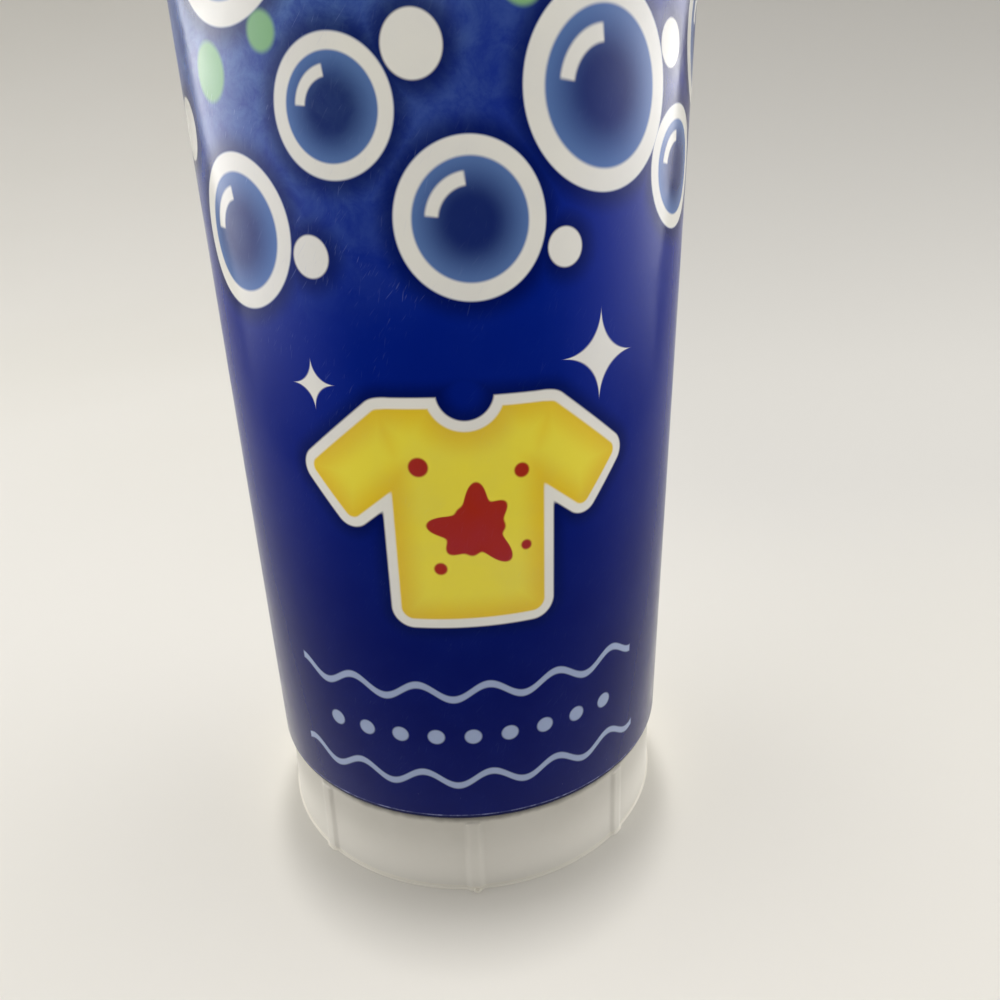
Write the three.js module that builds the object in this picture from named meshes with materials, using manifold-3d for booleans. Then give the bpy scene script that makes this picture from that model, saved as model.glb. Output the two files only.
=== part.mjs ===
// Twist-up stain remover stick: a barrel in a wrapped film label, a twist dial with a lead screw, an elevator that
// climbs the screw with the cast stick on it, and a pull-off cap.
// Millimetres, +Z up, origin at the centre of the dial's standing rim, front towards -Y.
import * as THREE from 'three';
import { mergeVertices } from 'three/addons/utils/BufferGeometryUtils.js';
import Module from 'manifold-3d';

// Driving dimensions
const LABEL_RADIUS = 22.0; // outside of the label film
const OVERALL_HEIGHT = 131.0; // standing rim to cap top
const BARREL_FOOT = 9.45; // lower edge of the barrel
const SHOULDER = 104.0; // step from barrel to neck
const MOUTH = 117.0; // open end of the barrel
const STICK_TOP = 122.0; // crown of the stick, wound down
const BORE_RADIUS = 19.8; // inside of the barrel
const NECK_RADIUS = 20.8; // outside of the neck under the cap
const LEAD = 8.0; // rise per turn of the screw
const STROKE = 92.0; // rise of the elevator from floor to mouth

// Fits
const GAP = 0.3; // clearance between neighbouring pieces
const FILM = 0.1; // label film
const GLUE = 0.05; // adhesive under the film
const THREAD_GAP = 0.4; // clearance between screw and nut

// Barrel
const BARREL_RADIUS = LABEL_RADIUS - FILM - GLUE;
const BARREL_EDGE = 0.3;
const NECK_BEAD = 0.15; // ring on the neck that the cap grips
const NECK_BEAD_MIDDLE = SHOULDER + 4.0;
const NECK_BEAD_REACH = 0.8; // half the ring's height
const SKIRT_DEPTH = 1.75; // socket for the dial's spigot, under the floor
const FLOOR = 1.8;
const FLOOR_UNDER = BARREL_FOOT + SKIRT_DEPTH;
const FLOOR_TOP = FLOOR_UNDER + FLOOR;
const GUIDE_COUNT = 4;
const GUIDE_WIDTH = 1.6;
const GUIDE_HEIGHT = 1.0;
const GUIDE_TOP = MOUTH - 3.0;
const GUIDE_ROOM = 0.45; // clearance over a guide rib's inner face

// Label
const LABEL_FOOT = BARREL_FOOT + 0.15;
const LABEL_TOP = SHOULDER - BARREL_EDGE - 0.1;
const SEAM_STEP = 18; // where the film starts, in turning steps from the front: behind, to the right
const LAP_STEPS = 1;

// Dial
const DIAL_TOP = BARREL_FOOT - GAP;
const DIAL_FOOT_RADIUS = 21.67;
const DIAL_TOP_RADIUS = 21.45;
const DIAL_EDGE = 0.35;
const DIAL_FLOOR = 1.8;
const FOOT_RECESS = 1.4;
const FOOT_RIM = 2.2; // width of the ring that the stick stands on
const DIAL_WALL_INSIDE = 18.0;
const SPIGOT_RADIUS = 19.3;
const SPIGOT_TOP = FLOOR_UNDER - GAP;
const HUB_RADIUS = 8.0;
const WEB = 1.2;
const GRIP_COUNT = 8; // grip ribs, and the webs behind them
const GRIP_WIDTH = 1.65;
const GRIP_RADIUS = 21.85;
const GRIP_TOP = 8.5;
const GRIP_TURN = THREE.MathUtils.degToRad(-1.6); // the front rib stands a little left of the middle

// Foot and collar of the spindle
const HEX_RADIUS = 4.4; // corners of the foot that drives the spindle
const JOURNAL_RADIUS = 4.7;
const COLLAR_RADIUS = 6.6;
const COLLAR_FOOT = FLOOR_TOP + GAP;
const COLLAR_TOP = COLLAR_FOOT + 1.6;

// Elevator
const RIM_RADIUS = BORE_RADIUS - GAP;
const RIM_WALL = 1.0;
const RIM_FOOT = FLOOR_TOP + GAP;
const RIM_TOP = RIM_FOOT + 9.7;
const PLATE_UNDER = COLLAR_TOP + GAP;
const PLATE_TOP = PLATE_UNDER + 1.8;
const NUT_RADIUS = 7.2;
const NUT_TOP = PLATE_TOP + 10.0;
const FIN_COUNT = 4;
const FIN_WIDTH = 1.2;
const FIN_TOP = PLATE_TOP + 3.0;
const FIN_REACH = 16.0;

// Thread of the spindle
const STARTS = 2;
const CREST_RADIUS = 4.6;
const ROOT_RADIUS = 3.2;
const CREST_HALF_ANGLE = THREE.MathUtils.degToRad(20);
const FLANK_ANGLE = THREE.MathUtils.degToRad(30);
const LAST_GRIP = 4.8; // thread left in the nut at the top of the stroke
const THREAD_TOP = PLATE_UNDER + STROKE + LAST_GRIP;
const TIP_TOP = THREAD_TOP + 2.0;
const TIP_RADIUS = 2.2;

// Stick
const STICK_RADIUS = BORE_RADIUS - GAP;
const CROWN_HEIGHT = 6.0;

// Cap
const CAP_RADIUS = LABEL_RADIUS;
const CAP_WALL = 0.9;
const CAP_ROOF = 1.4;
const CAP_FOOT = SHOULDER + GAP;
const CAP_CROWN = 2.4; // rounding of the upper edge
const CAP_EDGE = 0.3;

// Faceting
const TURN_STEPS = 48; // facets around every turned piece
const ARC_STEPS = 2; // half the facets of an arc in a profile
const CROWN_STEPS = 4; // the same for the crowns of the stick and the cap
const THREAD_ARC_STEPS = 1; // the same for the screw's section
const SLICES_PER_TURN = 16; // slices of the screw

const wasm = await Module();
wasm.setup();

// A closed geometry as a solid that can be joined and cut.
function solid(geometry) {
  const bare = geometry.clone();
  bare.deleteAttribute('normal');
  bare.deleteAttribute('uv');
  const merged = mergeVertices(bare, 1e-4);
  const mesh = new wasm.Mesh({
    numProp: 3,
    vertProperties: merged.attributes.position.array,
    triVerts: new Uint32Array(merged.index.array),
  });
  return new wasm.Manifold(mesh);
}

function geometryOf(body) {
  const mesh = body.getMesh();
  const geometry = new THREE.BufferGeometry();
  geometry.setAttribute('position', new THREE.BufferAttribute(mesh.vertProperties, 3));
  geometry.setIndex(new THREE.BufferAttribute(mesh.triVerts, 1));
  geometry.computeVertexNormals();
  return geometry;
}

// A profile of radius and height, drawn anticlockwise and closed, turned about Z from the front.
function turned(path, arcSteps = ARC_STEPS) {
  const points = path.getPoints(arcSteps);
  const closed = [...points, points[0]];
  return solid(new THREE.LatheGeometry(closed, TURN_STEPS).rotateX(Math.PI / 2));
}

function outline(corners) {
  return new THREE.Path(corners.map(([radius, height]) => new THREE.Vector2(radius, height)));
}

// A radial block from one radius to another, centred on the front.
function radialBlock(inner, outer, width, low, high) {
  const block = new THREE.BoxGeometry(width, outer - inner, high - low);
  return block.translate(0, -(inner + outer) / 2, (low + high) / 2);
}

// Copies of a geometry spaced evenly about Z, as solids.
function around(count, geometry, firstTurn = 0) {
  const copies = [];
  for (let i = 0; i < count; i++) {
    const turn = firstTurn + (i * 2 * Math.PI) / count;
    copies.push(solid(geometry.clone().rotateZ(turn)));
  }
  return copies;
}

function joined(body, additions) {
  return additions.reduce((whole, part) => whole.add(part), body);
}

function cut(body, tools) {
  return tools.reduce((rest, tool) => rest.subtract(tool), body);
}

// Cross-section of the screw: crests and roots are arcs, and straight flanks join them.
function threadSection(clearance) {
  const crestHalf = CREST_HALF_ANGLE + clearance / ((CREST_RADIUS + ROOT_RADIUS) / 2);
  const period = (2 * Math.PI) / STARTS;
  const shape = new THREE.Shape();
  for (let i = 0; i < STARTS; i++) {
    const crest = i * period;
    const rootFrom = crest + crestHalf + FLANK_ANGLE;
    const rootTo = crest + period - crestHalf - FLANK_ANGLE;
    shape.absarc(0, 0, CREST_RADIUS + clearance, crest - crestHalf, crest + crestHalf);
    shape.absarc(0, 0, ROOT_RADIUS + clearance, rootFrom, rootTo);
  }
  return shape;
}

// The screw's section drawn up along Z and twisted with height. The hand is left, so that the dial, turned
// clockwise as seen from below, lifts the nut.
function threadBody(low, high, clearance) {
  const steps = Math.round(((high - low) / LEAD) * SLICES_PER_TURN);
  const geometry = new THREE.ExtrudeGeometry(threadSection(clearance), {
    depth: high - low,
    steps,
    curveSegments: THREAD_ARC_STEPS,
    bevelEnabled: false,
  });
  geometry.translate(0, 0, low);
  const place = geometry.attributes.position;
  const point = new THREE.Vector3();
  const axis = new THREE.Vector3(0, 0, 1);
  for (let i = 0; i < place.count; i++) {
    point.fromBufferAttribute(place, i);
    point.applyAxisAngle(axis, (-2 * Math.PI * point.z) / LEAD);
    place.setXYZ(i, point.x, point.y, point.z);
  }
  return solid(geometry);
}

function hexPrism(radius, low, high) {
  const prism = new THREE.CylinderGeometry(radius, radius, high - low, 6);
  return solid(prism.rotateX(Math.PI / 2).translate(0, 0, (low + high) / 2));
}

// Moulded tube: stepped neck, floor with a hole for the spindle, and guide ribs inside.
function makeBarrel() {
  const tube = turned(
    outline([
      [SPIGOT_RADIUS + GAP, BARREL_FOOT],
      [BARREL_RADIUS - BARREL_EDGE, BARREL_FOOT],
      [BARREL_RADIUS, BARREL_FOOT + BARREL_EDGE],
      [BARREL_RADIUS, SHOULDER - BARREL_EDGE],
      [BARREL_RADIUS - BARREL_EDGE, SHOULDER],
      [NECK_RADIUS, SHOULDER],
      [NECK_RADIUS, NECK_BEAD_MIDDLE - NECK_BEAD_REACH],
      [NECK_RADIUS + NECK_BEAD, NECK_BEAD_MIDDLE],
      [NECK_RADIUS, NECK_BEAD_MIDDLE + NECK_BEAD_REACH],
      [NECK_RADIUS, MOUTH - BARREL_EDGE],
      [NECK_RADIUS - BARREL_EDGE, MOUTH],
      [BORE_RADIUS, MOUTH],
      [BORE_RADIUS, FLOOR_TOP],
      [JOURNAL_RADIUS + GAP, FLOOR_TOP],
      [JOURNAL_RADIUS + GAP, FLOOR_UNDER],
      [SPIGOT_RADIUS + GAP, FLOOR_UNDER],
    ]),
  );
  const guide = radialBlock(
    BORE_RADIUS - GUIDE_HEIGHT,
    (BORE_RADIUS + NECK_RADIUS) / 2,
    GUIDE_WIDTH,
    FLOOR_TOP - FLOOR / 2,
    GUIDE_TOP,
  );
  return joined(tube, around(GUIDE_COUNT, guide, Math.PI / GUIDE_COUNT));
}

// Printed film, wrapped once round the barrel, with its end lapped over its start.
function makeLabel() {
  const outer = [];
  const inner = [];
  for (let i = 0; i <= TURN_STEPS + LAP_STEPS; i++) {
    const turn = ((SEAM_STEP + i) * 2 * Math.PI) / TURN_STEPS;
    const lapped = i >= TURN_STEPS ? FILM + GLUE : 0;
    const radius = BARREL_RADIUS + GLUE + lapped;
    const way = new THREE.Vector2(Math.sin(turn), -Math.cos(turn));
    inner.push(way.clone().multiplyScalar(radius));
    outer.push(way.clone().multiplyScalar(radius + FILM));
  }
  const strip = new THREE.Shape([...outer, ...inner.reverse()]);
  const film = new THREE.ExtrudeGeometry(strip, { depth: LABEL_TOP - LABEL_FOOT, bevelEnabled: false });
  return solid(film.translate(0, 0, LABEL_FOOT));
}

// Twist dial: a cup on a standing rim, with grip ribs outside, webs inside and a hub for the spindle.
function makeDial() {
  const floorTop = FOOT_RECESS + DIAL_FLOOR;
  const path = new THREE.Path();
  path.moveTo(0, FOOT_RECESS);
  path.lineTo(DIAL_FOOT_RADIUS - FOOT_RIM, FOOT_RECESS);
  path.lineTo(DIAL_FOOT_RADIUS - FOOT_RIM, 0);
  path.absarc(DIAL_FOOT_RADIUS - DIAL_EDGE, DIAL_EDGE, DIAL_EDGE, -Math.PI / 2, 0);
  path.lineTo(DIAL_TOP_RADIUS, DIAL_TOP - DIAL_EDGE);
  path.lineTo(DIAL_TOP_RADIUS - DIAL_EDGE, DIAL_TOP);
  path.lineTo(SPIGOT_RADIUS, DIAL_TOP);
  path.lineTo(SPIGOT_RADIUS, SPIGOT_TOP);
  path.lineTo(DIAL_WALL_INSIDE, SPIGOT_TOP);
  path.lineTo(DIAL_WALL_INSIDE, floorTop);
  path.lineTo(HUB_RADIUS, floorTop);
  path.lineTo(HUB_RADIUS, SPIGOT_TOP);
  path.lineTo(0, SPIGOT_TOP);
  const web = radialBlock(HUB_RADIUS - WEB, DIAL_WALL_INSIDE + WEB, WEB, floorTop - WEB, DIAL_TOP - WEB);
  const cup = joined(turned(path), [
    ...around(GRIP_COUNT, web, GRIP_TURN),
    ...around(GRIP_COUNT, gripRib(), GRIP_TURN),
  ]);
  return cut(cup, [hexPrism(HEX_RADIUS + GAP, floorTop, SPIGOT_TOP + WEB)]);
}

// One grip rib, drawn from the side with sloped ends and given its width.
function gripRib() {
  const root = DIAL_TOP_RADIUS - DIAL_EDGE;
  const slope = GRIP_RADIUS - root;
  const side = new THREE.Shape([
    new THREE.Vector2(root, DIAL_EDGE),
    new THREE.Vector2(DIAL_FOOT_RADIUS, DIAL_EDGE),
    new THREE.Vector2(GRIP_RADIUS, 2 * DIAL_EDGE),
    new THREE.Vector2(GRIP_RADIUS, GRIP_TOP - slope),
    new THREE.Vector2(root, GRIP_TOP),
  ]);
  const rib = new THREE.ExtrudeGeometry(side, { depth: GRIP_WIDTH, bevelEnabled: false });
  // The side view's radius turns to the front and its height to Z.
  return rib.translate(0, 0, -GRIP_WIDTH / 2).rotateX(Math.PI / 2).rotateZ(-Math.PI / 2);
}

// Lead screw: hexagonal foot in the dial, journal in the barrel's floor, retaining collar, thread and guide tip.
function makeSpindle() {
  const shank = turned(
    outline([
      [0, SPIGOT_TOP],
      [JOURNAL_RADIUS, SPIGOT_TOP],
      [JOURNAL_RADIUS, COLLAR_FOOT],
      [COLLAR_RADIUS, COLLAR_FOOT],
      [COLLAR_RADIUS, COLLAR_TOP],
      [0, COLLAR_TOP],
    ]),
  );
  const tip = turned(
    outline([
      [0, THREAD_TOP - GAP],
      [ROOT_RADIUS - GAP, THREAD_TOP - GAP],
      [TIP_RADIUS, TIP_TOP],
      [0, TIP_TOP],
    ]),
  );
  const foot = hexPrism(HEX_RADIUS, FOOT_RECESS + DIAL_FLOOR + GAP, SPIGOT_TOP + GAP);
  return joined(shank, [foot, threadBody(COLLAR_TOP - GAP, THREAD_TOP, 0), tip]);
}

// Elevator: a rimmed platform with the nut, fins that key the cast stick, and notches for the guide ribs.
function makeElevator() {
  const inside = RIM_RADIUS - RIM_WALL;
  const plate = turned(
    outline([
      [0, PLATE_UNDER],
      [inside, PLATE_UNDER],
      [inside, RIM_FOOT],
      [RIM_RADIUS, RIM_FOOT],
      [RIM_RADIUS, RIM_TOP],
      [inside, RIM_TOP],
      [inside, PLATE_TOP],
      [NUT_RADIUS, PLATE_TOP],
      [NUT_RADIUS, NUT_TOP],
      [0, NUT_TOP],
    ]),
  );
  const fin = radialBlock(NUT_RADIUS - FIN_WIDTH, FIN_REACH, FIN_WIDTH, PLATE_UNDER + GAP, FIN_TOP);
  const whole = joined(plate, around(FIN_COUNT, fin));
  return cut(whole, [
    ...around(GUIDE_COUNT, guideNotch(RIM_FOOT - GAP, RIM_TOP + GAP), Math.PI / GUIDE_COUNT),
    threadBody(PLATE_UNDER - GAP, NUT_TOP + GAP, THREAD_GAP),
  ]);
}

// Room for one guide rib of the barrel.
function guideNotch(low, high) {
  const inner = BORE_RADIUS - GUIDE_HEIGHT - GUIDE_ROOM;
  return radialBlock(inner, BORE_RADIUS + GAP, GUIDE_WIDTH + 2 * GAP, low, high);
}

// The cast stick: a domed cylinder moulded round the screw, the nut and the fins, grooved by the guide ribs.
function makeStick() {
  const low = PLATE_TOP + GAP;
  const step = RIM_TOP + GAP;
  const nutRoom = NUT_RADIUS + GAP;
  const screwRoom = CREST_RADIUS + GAP;
  const path = new THREE.Path();
  path.moveTo(nutRoom, low);
  path.lineTo(RIM_RADIUS - RIM_WALL - GAP, low);
  path.lineTo(RIM_RADIUS - RIM_WALL - GAP, step);
  path.lineTo(STICK_RADIUS, step);
  path.absellipse(0, STICK_TOP - CROWN_HEIGHT, STICK_RADIUS, CROWN_HEIGHT, 0, Math.PI / 2);
  path.lineTo(0, TIP_TOP + GAP);
  path.lineTo(screwRoom, TIP_TOP + GAP);
  path.lineTo(screwRoom, NUT_TOP + GAP);
  path.lineTo(nutRoom, NUT_TOP + GAP);
  const finRoom = radialBlock(NUT_RADIUS, FIN_REACH + GAP, FIN_WIDTH + 2 * GAP, low - GAP, FIN_TOP + GAP);
  return cut(turned(path, CROWN_STEPS), [
    ...around(FIN_COUNT, finRoom),
    ...around(GUIDE_COUNT, guideNotch(low - GAP, GUIDE_TOP + GAP), Math.PI / GUIDE_COUNT),
  ]);
}

// Pull-off cap: a thin cup with a rounded crown and a lead-in at its mouth.
function makeCap() {
  const inside = CAP_RADIUS - CAP_WALL;
  const ceiling = OVERALL_HEIGHT - CAP_ROOF;
  const fillet = CAP_CROWN - CAP_WALL;
  const path = new THREE.Path();
  path.moveTo(inside + CAP_EDGE, CAP_FOOT);
  path.lineTo(CAP_RADIUS - CAP_EDGE, CAP_FOOT);
  path.lineTo(CAP_RADIUS, CAP_FOOT + CAP_EDGE);
  path.absarc(CAP_RADIUS - CAP_CROWN, OVERALL_HEIGHT - CAP_CROWN, CAP_CROWN, 0, Math.PI / 2);
  path.lineTo(0, OVERALL_HEIGHT);
  path.lineTo(0, ceiling);
  path.absarc(inside - fillet, ceiling - fillet, fillet, Math.PI / 2, 0, true);
  path.lineTo(inside, CAP_FOOT + CAP_EDGE);
  return turned(path, CROWN_STEPS);
}

const whitePlastic = { color: 0xe6e3db, roughness: 0.45, metalness: 0 };
const piece = (name, body, finish) => {
  const mesh = new THREE.Mesh(geometryOf(body), new THREE.MeshStandardMaterial(finish));
  mesh.name = name;
  return mesh;
};

const carrier = new THREE.Group();
carrier.add(
  piece('elevator', makeElevator(), { color: 0xdad8d2, roughness: 0.5, metalness: 0 }),
  piece('stick', makeStick(), { color: 0xf1eee2, roughness: 0.6, metalness: 0 }),
);

const drive = new THREE.Group();
drive.add(
  piece('dial', makeDial(), whitePlastic),
  piece('spindle', makeSpindle(), { color: 0xdad8d2, roughness: 0.5, metalness: 0 }),
);

const stainStick = new THREE.Group();
stainStick.add(
  piece('barrel', makeBarrel(), whitePlastic),
  piece('label', makeLabel(), { color: 0x14206e, roughness: 0.3, metalness: 0 }),
  drive,
  carrier,
  piece('cap', makeCap(), whitePlastic),
);

export default stainStick;
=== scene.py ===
# Twist-up stain remover stick: turned pieces, a printed film label, moulded plastic, wax and a pale studio.
# The frame and all meshes are in metres, +Z up, with the front of the label towards -Y.
# The sizes of the object that are named here are in millimetres, and those of the studio in metres.
import math

import bmesh
import bpy
from mathutils import Matrix, Vector


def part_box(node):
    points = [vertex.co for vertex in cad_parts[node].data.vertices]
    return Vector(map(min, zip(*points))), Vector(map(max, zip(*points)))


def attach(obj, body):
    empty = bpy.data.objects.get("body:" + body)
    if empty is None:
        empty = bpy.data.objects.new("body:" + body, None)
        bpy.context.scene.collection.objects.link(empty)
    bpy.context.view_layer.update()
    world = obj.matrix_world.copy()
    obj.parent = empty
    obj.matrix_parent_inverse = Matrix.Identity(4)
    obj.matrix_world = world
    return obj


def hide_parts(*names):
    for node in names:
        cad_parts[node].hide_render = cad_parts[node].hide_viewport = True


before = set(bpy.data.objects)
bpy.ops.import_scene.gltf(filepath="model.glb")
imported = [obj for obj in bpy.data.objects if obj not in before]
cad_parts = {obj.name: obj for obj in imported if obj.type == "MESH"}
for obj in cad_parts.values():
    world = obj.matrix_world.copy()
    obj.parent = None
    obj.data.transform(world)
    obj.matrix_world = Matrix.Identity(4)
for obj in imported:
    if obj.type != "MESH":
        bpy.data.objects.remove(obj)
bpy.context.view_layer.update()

MM = 0.001
WHOLE_TURN = 2 * math.pi
QUARTER_TURN = math.pi / 2


def box_mm(node):
    low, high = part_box(node)
    return low / MM, high / MM


# Sizes taken from the frame
barrel_low, barrel_high = box_mm("barrel")
label_high = box_mm("label")[1]
dial_high = box_mm("dial")[1]
stick_low, stick_high = box_mm("stick")
cap_low, cap_high = box_mm("cap")
spindle_high = box_mm("spindle")[1]

GAP = 0.3  # clearance between neighbouring pieces
NECK_WALL = 1.0
FLOOR_THICK = 1.8  # floor of the barrel
BARREL_FOOT = barrel_low.z
BARREL_RADIUS = barrel_high.x
MOUTH = barrel_high.z
SHOULDER = cap_low.z - GAP
STICK_RADIUS = stick_high.x
BORE_RADIUS = STICK_RADIUS + GAP
NECK_RADIUS = BORE_RADIUS + NECK_WALL
LABEL_RADIUS = cap_high.x
DIAL_TOP = BARREL_FOOT - GAP
SPIGOT_TOP = dial_high.z
FLOOR_UNDER = SPIGOT_TOP + GAP
FLOOR_TOP = FLOOR_UNDER + FLOOR_THICK
SCREW_TIP = spindle_high.z

# Turning
TURN_STEPS = 320
ROUND_STEPS = 5
SHARP_ANGLE = math.radians(38)
MERGE_DISTANCE = 0.001

# Dial
GRIP_COUNT = 8
DIAL_STEPS = 82 * GRIP_COUNT  # the same steps between all ribs
DIAL_FOOT_RADIUS = 21.67
DIAL_TOP_RADIUS = 21.45
DIAL_TAPER = (DIAL_TOP_RADIUS - DIAL_FOOT_RADIUS) / DIAL_TOP
DIAL_FLOOR = 1.8
FOOT_RECESS = 1.4
FOOT_RIM = 2.2
JOINT_SHADE_HEIGHTS = (8.3, 9.0)  # heights between which painted shade darkens the dial under the barrel
SPIGOT_RADIUS = 19.3
DIAL_INSIDE = 18.0
HUB_RADIUS = 8.0
SOCKET_RADIUS = 4.7
GRIP_TOP = 8.6
GRIP_END = 0.45  # length over which a rib runs out at its top
GRIP_ROWS = 5  # rings of points in that length
GRIP_HALF = 1.0  # half the width of a rib
GRIP_SIDE = 0.6  # width of a rib's sloping side
GRIP_RISE = 0.24
FRONT_GRIP = math.radians(-1.2)  # the front rib stands a little left of the middle
FLASH_RING = 0.2  # flash at the parting line, round the foot
FLASH_EDGE = 0.07  # height of the ring's outer edge
FLASH_ROOT = 0.12  # height at which the ring meets the wall
FLASH_TURN = math.radians(0.4)  # curl of flash under the front rib, to the right of its middle
FLASH_REACH = 0.32  # radius of the curl
FLASH_THICK = 0.1
FLASH_SIDES = 8
FLASH_SWEEP = math.radians(-210)
FLASH_STEPS = 12
FLASH_TIP = 0.4  # how much of the curl's thickness is left at its tip

# Guide ribs of the barrel, and the grooves that they leave in the stick
GUIDE_COUNT = 4
GUIDE_STEPS = 4  # turning steps that a guide rib covers
GROOVE_STEPS = 6
GUIDE_HEIGHT = 1.0
GROOVE_DEPTH = 1.3
GUIDE_SLOPE = 0.08  # how far a rib's sides lean in
GROOVE_SLOPE = 0.05
GUIDE_FOOT = 0.6  # height left plain below a rib or a groove
GUIDE_TOP = MOUTH - 3.0
WALL_BAND = 0.1  # how far a face may lie from its wall's radius

# Ring on the neck that the cap grips
BEAD_MIDDLE = SHOULDER + 4.0
BEAD_HALF = 0.8
BEAD_RISE = 0.15

# Label film
FILM = 0.1
SEAM_TURN = math.radians(135)
LAP_TURN = math.radians(5.0)
RAMP_TURN = math.radians(2.0)
RAMP_STEPS = 6
LAP_STEPS = 8
LAP_RISE = 0.15
FILM_ROLL = 0.42  # the film follows the rounded foot of the barrel
CREASE = BARREL_FOOT + 0.5

# Cap and stick
CAP_WALL = 0.9
CAP_ROOF = 1.4
CAP_CROWN = 2.4
CROWN_HEIGHT = 6.0
CROWN_STEPS = 24
SCREW_ROOM = SOCKET_RADIUS + 0.2  # hollows of the stick for the screw, the nut and the elevator's rim
NUT_ROOM = 7.5
RIM_ROOM = STICK_RADIUS - 1.3
NUT_TOP = stick_low.z + 10.0
RIM_TOP = stick_low.z + 6.0

# Camera, worked out from the curves of the barrel's foot, the dial and the label's sides
LENS = 27.04
SENSOR = 36.0
CAMERA_PLACE = Vector((0.0, -0.07707, 0.06549))
CAMERA_PITCH = math.radians(22.60)
CAMERA_YAW = math.radians(3.15)
CAMERA_ROLL = math.radians(1.61)
CAMERA_REACH = (0.005, 20.0)


# Shapes
def profile(corners, closed=True):
    """A wire of (radius, height, rounding) corners that faces the front, with its corners rounded."""
    shape = bmesh.new()
    points = [shape.verts.new((0, -radius * MM, height * MM)) for radius, height, _ in corners]
    ends = points[1:] + points[:1] if closed else points[1:]
    for start, end in zip(points, ends):
        shape.edges.new((start, end))
    for point, (_, _, rounding) in zip(points, corners):
        if rounding:
            bmesh.ops.bevel(
                shape, geom=[point], offset=rounding * MM, offset_type="OFFSET", segments=ROUND_STEPS,
                profile=0.5, affect="VERTICES", material=-1,
            )
    return shape


def spin(shape, geom, angle, steps, shift=(0, 0, 0), merge=False):
    return bmesh.ops.spin(
        shape, geom=geom, cent=(0, 0, 0), axis=(0, 0, 1), dvec=shift, angle=angle, steps=steps,
        use_merge=merge,
    )["geom_last"]


def turn_about(shape, angle):
    bmesh.ops.rotate(shape, verts=shape.verts, cent=(0, 0, 0), matrix=Matrix.Rotation(angle, 3, "Z"))


def tidy(shape):
    bmesh.ops.remove_doubles(shape, verts=shape.verts, dist=MERGE_DISTANCE * MM)
    bmesh.ops.recalc_face_normals(shape, faces=shape.faces)


def turned(corners, closed=True, steps=TURN_STEPS, start=0.0):
    shape = profile(corners, closed)
    turn_about(shape, start)
    spin(shape, shape.verts[:] + shape.edges[:], WHOLE_TURN, steps, merge=True)
    tidy(shape)
    return shape


def wall_faces(shape, radius, heights, middle, arc):
    """Faces of a turned wall near a radius and between heights, in an arc about a turn from the front."""
    chosen = []
    for face in shape.faces:
        at = face.calc_center_median() / MM
        off = math.remainder(math.atan2(at.x, -at.y) - middle, WHOLE_TURN)
        in_band = abs(at.xy.length - radius) < WALL_BAND and heights[0] < at.z < heights[1]
        if in_band and abs(off) < arc / 2:
            chosen.append(face)
    return chosen


def raise_guides(shape, radius, heights, steps, slope, rise):
    """Upright pads with sloped sides on a turned wall, raised, or sunk where rise is negative."""
    for guide in range(GUIDE_COUNT):
        middle = (guide + 0.5) * WHOLE_TURN / GUIDE_COUNT
        faces = wall_faces(shape, radius, heights, middle, steps * WHOLE_TURN / TURN_STEPS)
        bmesh.ops.inset_region(
            shape, faces=faces, thickness=slope * MM, depth=rise * MM, use_boundary=True,
            use_even_offset=True,
        )


def piece(name, shape, node, body, material):
    for face in shape.faces:
        face.smooth = True
    for edge in shape.edges:
        edge.smooth = edge.calc_face_angle(0.0) < SHARP_ANGLE
    mesh = bpy.data.meshes.new(name)
    shape.to_mesh(mesh)
    shape.free()
    mesh.materials.append(material)
    made = bpy.data.objects.new(name, mesh)
    bpy.context.collection.objects.link(made)
    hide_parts(node)
    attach(made, body)
    return made


# Node helpers
def paint(red, green, blue):
    """A screen colour, 0 to 255, as linear light."""
    def linear(value):
        value /= 255
        return value / 12.92 if value <= 0.04045 else ((value + 0.055) / 1.055) ** 2.4
    return linear(red), linear(green), linear(blue), 1.0


def feed(tree, socket, value):
    if isinstance(value, bpy.types.NodeSocket):
        tree.links.new(value, socket)
    else:
        socket.default_value = value


def calc(tree, operation, *values):
    node = tree.nodes.new("ShaderNodeMath")
    node.operation = operation
    for socket, value in zip(node.inputs, values):
        feed(tree, socket, value)
    return node.outputs[0]


def ramp(tree, value, low, high, bottom=0.0, top=1.0):
    """A soft step from bottom, where value is low, to top, where it is high."""
    node = tree.nodes.new("ShaderNodeMapRange")
    node.interpolation_type = "SMOOTHSTEP"
    feed(tree, node.inputs["Value"], value)
    feed(tree, node.inputs["From Min"], low)
    feed(tree, node.inputs["From Max"], high)
    feed(tree, node.inputs["To Min"], bottom)
    feed(tree, node.inputs["To Max"], top)
    return node.outputs["Result"]


def product(tree, *values):
    """All values multiplied together."""
    result = values[0]
    for value in values[1:]:
        result = calc(tree, "MULTIPLY", result, value)
    return result


def blend(tree, share, under, over):
    """A colour between two, by the node's colour sockets, which share their names with other kinds."""
    node = tree.nodes.new("ShaderNodeMix")
    node.data_type = "RGBA"
    feed(tree, node.inputs["Factor"], share)
    feed(tree, node.inputs[6], under)
    feed(tree, node.inputs[7], over)
    return node.outputs[2]


def noise(tree, place, scale, detail=2.0, roughness=0.5, distortion=0.0):
    node = tree.nodes.new("ShaderNodeTexNoise")
    feed(tree, node.inputs["Vector"], place)
    node.inputs["Scale"].default_value = scale
    node.inputs["Detail"].default_value = detail
    node.inputs["Roughness"].default_value = roughness
    node.inputs["Distortion"].default_value = distortion
    return node.outputs["Fac"]


def object_place(tree):
    return tree.nodes.new("ShaderNodeTexCoord").outputs["Object"]


def stretched(tree, place, scale):
    node = tree.nodes.new("ShaderNodeMapping")
    feed(tree, node.inputs["Vector"], place)
    node.inputs["Scale"].default_value = scale
    return node.outputs["Vector"]


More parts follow.
